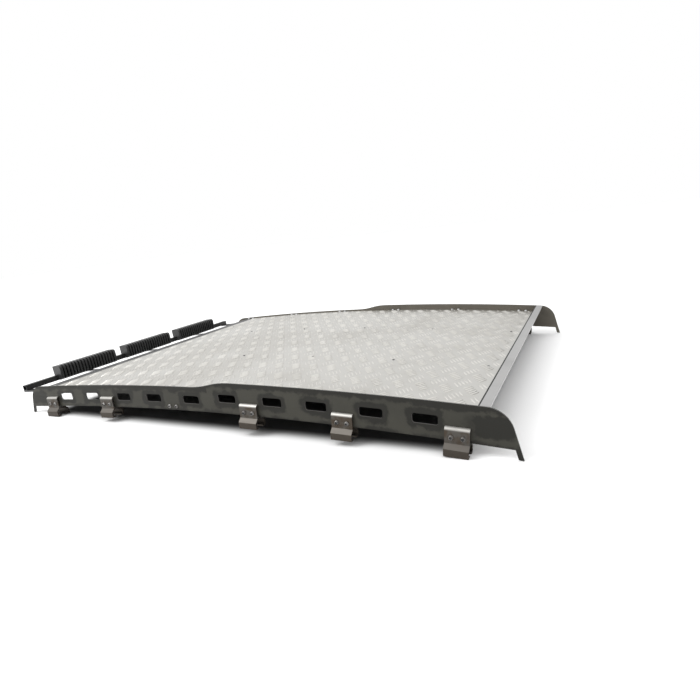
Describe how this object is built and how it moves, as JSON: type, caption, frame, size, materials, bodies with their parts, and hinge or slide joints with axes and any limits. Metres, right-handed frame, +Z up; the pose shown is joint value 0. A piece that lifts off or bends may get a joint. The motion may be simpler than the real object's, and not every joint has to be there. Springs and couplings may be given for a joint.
{
  "type": "roof rack",
  "caption": "Cambered platform roof rack: slotted grey side plates, tread-plate deck, rail clamps along both sides and driving lamps on a front beam.",
  "frame": {"origin": "centre of the overall box, at the lowest edges of the end clamps", "axes": "+X towards the vehicle's rear, +Y towards its right side, +Z up"},
  "size_m": [1.8612, 1.276, 0.1522],
  "materials": {
    "plate_paint": "dull grey primer, brushed darker at cut edges",
    "deck_aluminium": "bright five-bar tread plate",
    "member_aluminium": "mill finish",
    "panel_paint": "satin dark grey",
    "bar_aluminium": "brushed",
    "seal_rubber": "matt black",
    "clamp_steel": "bare bent strip",
    "beam_paint": "satin black",
    "lamp_black": "satin black cast housing",
    "lamp_lens": "clear"
  },
  "bodies": {
    "root": {"left_side_plate": "plate_paint", "right_side_plate": "plate_paint", "deck_sheet": "deck_aluminium", "cross_member_1": "member_aluminium", "cross_member_2": "member_aluminium", "cross_member_3": "member_aluminium", "cross_member_4": "member_aluminium", "cross_member_5": "member_aluminium", "cross_member_6": "member_aluminium", "front_panel": "panel_paint", "rear_edge_bar": "bar_aluminium", "rear_seal": "seal_rubber", "left_clamp_1": "clamp_steel", "left_clamp_2": "clamp_steel", "left_clamp_4": "clamp_steel", "left_clamp_5": "clamp_steel", "left_clamp_6": "clamp_steel", "right_clamp_1": "clamp_steel", "right_clamp_2": "clamp_steel", "right_clamp_3": "clamp_steel", "right_clamp_4": "clamp_steel", "right_clamp_5": "clamp_steel", "right_clamp_6": "clamp_steel", "left_inner_jaws": "clamp_steel", "right_inner_jaws": "clamp_steel", "lamp_beam": "beam_paint", "left_lamp_arm": "beam_paint", "right_lamp_arm": "beam_paint", "left_lamp_bracket": "beam_paint", "middle_lamp_bracket": "beam_paint", "right_lamp_bracket": "beam_paint", "left_lamp_housing": "lamp_black", "middle_lamp_housing": "lamp_black", "right_lamp_housing": "lamp_black", "left_lamp_lens": "lamp_lens", "middle_lamp_lens": "lamp_lens", "right_lamp_lens": "lamp_lens"}
  },
  "joints": []
}
